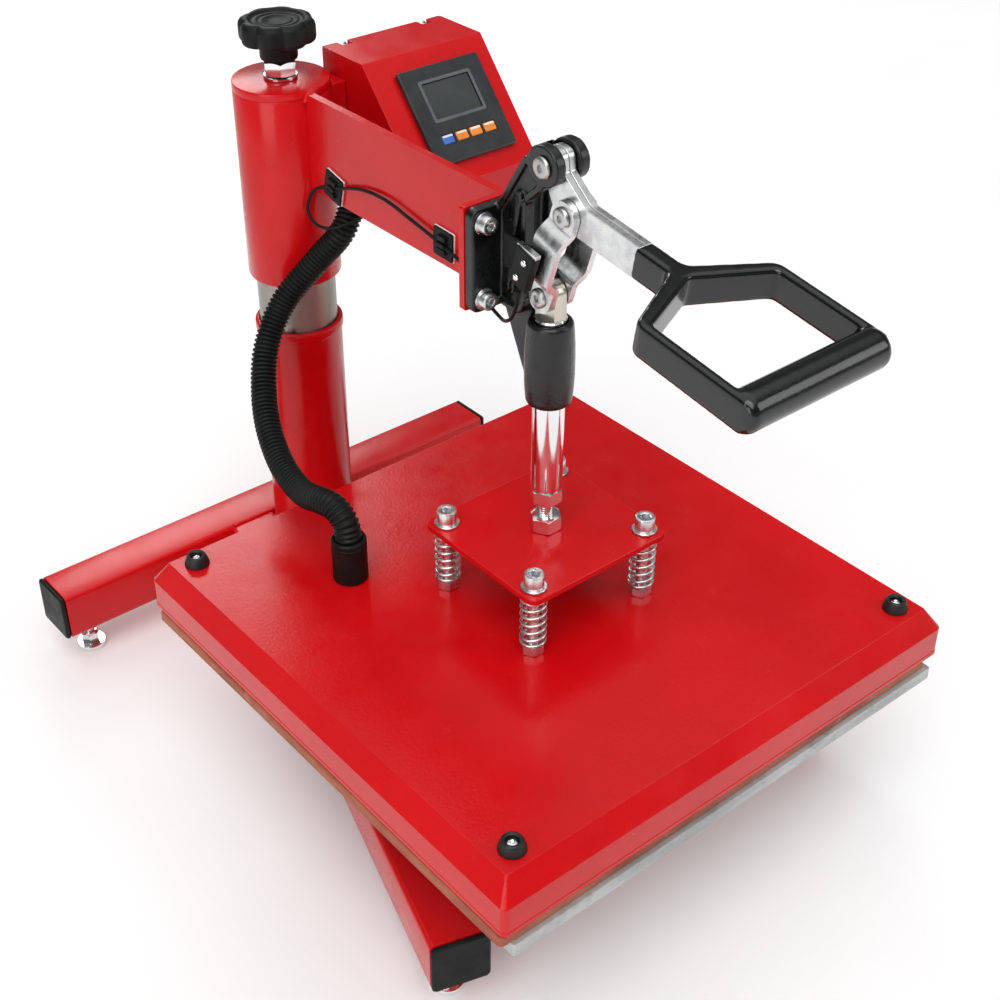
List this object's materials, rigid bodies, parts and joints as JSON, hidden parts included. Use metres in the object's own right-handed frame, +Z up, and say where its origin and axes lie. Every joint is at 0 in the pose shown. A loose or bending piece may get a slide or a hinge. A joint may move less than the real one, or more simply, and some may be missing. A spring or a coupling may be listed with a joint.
{
  "type": "swing-away heat press",
  "caption": "Bench heat press: a square hot head under a spring plate, lifted by a toggle handle on a swinging arm, over a padded flat platen on a tube base.",
  "frame": {"origin": "on the bench under the middle of the bounding box, with the feet at z = 0", "axes": "+Z up, -Y towards the operator, +X to the side of the control box; +Y is the longest direction"},
  "size_m": [0.4336, 0.5846, 0.507],
  "materials": {
    "red": "gloss powder coat",
    "black_plastic": "satin moulding",
    "black_casting": "semi-gloss paint on a casting",
    "black_dip": "glossy dipped vinyl",
    "bare_steel": "bare drawn tube",
    "zinc": "bright zinc plate",
    "chrome": "bright",
    "nickel": "warm nickel plate",
    "aluminium": "machined",
    "silicone": "matt silicone",
    "insulation": "compressed fibre board",
    "bezel": "moulded grey",
    "screen": "dark window",
    "blue": "satin",
    "orange": "satin"
  },
  "bodies": {
    "base": {"crossbar": "red", "leg_left": "red", "leg_right": "red", "crossbar_cap_left": "black_plastic", "crossbar_cap_right": "black_plastic", "leg_cap_left": "black_plastic", "leg_cap_right": "black_plastic", "rear_foot_left": "chrome", "rear_foot_right": "chrome", "front_foot_left": "chrome", "front_foot_right": "chrome", "lower_column": "red", "inner_column": "bare_steel", "platen_support": "red", "lower_platen": "aluminium", "silicone_mat": "silicone"},
    "carriage": {"thrust_washer": "chrome"},
    "knob": {"pressure_knob": "black_plastic", "adjusting_screw": "chrome"},
    "arm": {"sleeve": "red", "arm_plate": "red", "toggle_bracket": "black_casting", "handle_pivot_pin": "zinc", "microswitch": "black_plastic", "control_box": "red", "box_back_cover": "red", "box_strap": "red", "controller_bezel": "bezel", "controller_screen": "screen", "power_inlet": "black_plastic", "switch_lead": "black_plastic", "conduit": "black_plastic"},
    "key_set": {"button_set": "blue"},
    "key_down": {"button_down": "orange"},
    "key_up": {"button_up": "orange"},
    "key_reset": {"button_reset": "orange"},
    "rocker": {"power_switch": "black_plastic"},
    "handle": {"lever_plate_left": "zinc", "lever_plate_right": "zinc", "d_handle": "black_dip"},
    "links": {"link_left": "zinc", "link_right": "zinc", "knee_pin": "zinc"},
    "plunger": {"plunger_rod": "nickel", "plunger_stud": "chrome", "spring_plate": "red", "spring_rear_left": "zinc", "spring_front_left": "zinc", "spring_front_right": "zinc", "spring_rear_right": "zinc"},
    "head": {"head_cover": "red", "heating_plate": "aluminium", "insulation_board": "insulation", "conduit_fitting": "black_plastic", "guide_screw_rear_left": "zinc", "guide_screw_front_left": "zinc", "guide_screw_front_right": "zinc", "guide_screw_rear_right": "zinc"}
  },
  "joints": [
    {"name": "height_slide", "type": "slide", "parent": "base", "child": "carriage", "axis": [0, 0, 1], "range_m": [0, 0.015]},
    {"name": "knob_turn", "type": "hinge", "parent": "carriage", "child": "knob", "pos_m": [0, 0.21382, 0.493], "axis": [0, 0, 1], "range_deg": [0, 1800]},
    {"name": "arm_swing", "type": "hinge", "parent": "carriage", "child": "arm", "pos_m": [0, 0.21382, 0.385], "axis": [0, 0, 1], "range_deg": [-90, 90]},
    {"name": "handle_lift", "type": "hinge", "parent": "arm", "child": "handle", "pos_m": [0, -0.08268, 0.4945], "axis": [-1, 0, 0], "range_deg": [0, 65]},
    {"name": "link_swing", "type": "hinge", "parent": "handle", "child": "links", "pos_m": [0, -0.09718, 0.4675], "axis": [-1, 0, 0], "range_deg": [-81.9, 0.5]},
    {"name": "plunger_slide", "type": "slide", "parent": "arm", "child": "plunger", "axis": [0, 0, 1], "range_m": [0, 0.0368], "deforming": ["conduit"]},
    {"name": "head_float", "type": "slide", "parent": "plunger", "child": "head", "axis": [0, 0, 1], "range_m": [0, 0.008], "stiffness_N_per_m": 8000, "springref_m": -0.015, "deforming": ["spring_rear_left", "spring_front_left", "spring_front_right", "spring_rear_right", "conduit"]},
    {"name": "press_set", "type": "slide", "parent": "arm", "child": "key_set", "axis": [0, 0.7529, -0.6582], "range_m": [0, 0.001], "stiffness_N_per_m": 300, "springref_m": -0.0004},
    {"name": "press_down", "type": "slide", "parent": "arm", "child": "key_down", "axis": [0, 0.7529, -0.6582], "range_m": [0, 0.001], "stiffness_N_per_m": 300, "springref_m": -0.0004},
    {"name": "press_up", "type": "slide", "parent": "arm", "child": "key_up", "axis": [0, 0.7529, -0.6582], "range_m": [0, 0.001], "stiffness_N_per_m": 300, "springref_m": -0.0004},
    {"name": "press_reset", "type": "slide", "parent": "arm", "child": "key_reset", "axis": [0, 0.7529, -0.6582], "range_m": [0, 0.001], "stiffness_N_per_m": 300, "springref_m": -0.0004},
    {"name": "rocker_tip", "type": "hinge", "parent": "arm", "child": "rocker", "pos_m": [0.1175, 0.21782, 0.404], "axis": [-1, 0, 0], "range_deg": [0, 10]}
  ],
  "couplings": [
    {"joint": "knob_turn", "follows": "height_slide", "rad_per_m": 2094.4},
    {"joint": "link_swing", "follows": "handle_lift", "ratio": -1.2511},
    {"joint": "plunger_slide", "follows": "handle_lift", "m_per_rad": 0.032165}
  ]
}
